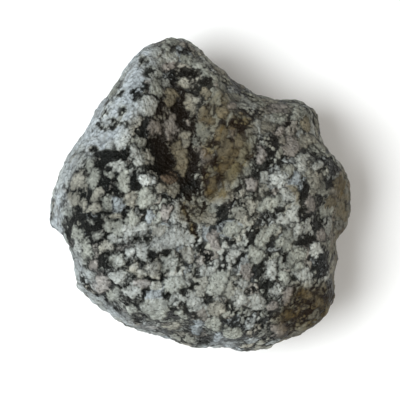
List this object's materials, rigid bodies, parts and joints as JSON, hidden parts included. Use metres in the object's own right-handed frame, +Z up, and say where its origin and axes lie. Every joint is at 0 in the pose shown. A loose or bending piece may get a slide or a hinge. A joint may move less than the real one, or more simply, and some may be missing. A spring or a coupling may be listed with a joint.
{
  "type": "snowflake obsidian stone",
  "caption": "Rough natural stone of black volcanic glass with pale grey crystal flakes, lying on a small flat spot, with a shallow valley across its top.",
  "frame": {"origin": "on the flat spot that the stone rests on, below the middle of the bounding box", "axes": "+Z up from the flat spot, +Y along the longest extent towards the narrow peak, +X to the right as seen from above with the peak at the top"},
  "size_m": [0.0732, 0.0766, 0.0402],
  "materials": {
    "obsidian": "matte"
  },
  "bodies": {
    "root": {"stone": "obsidian"}
  },
  "joints": []
}
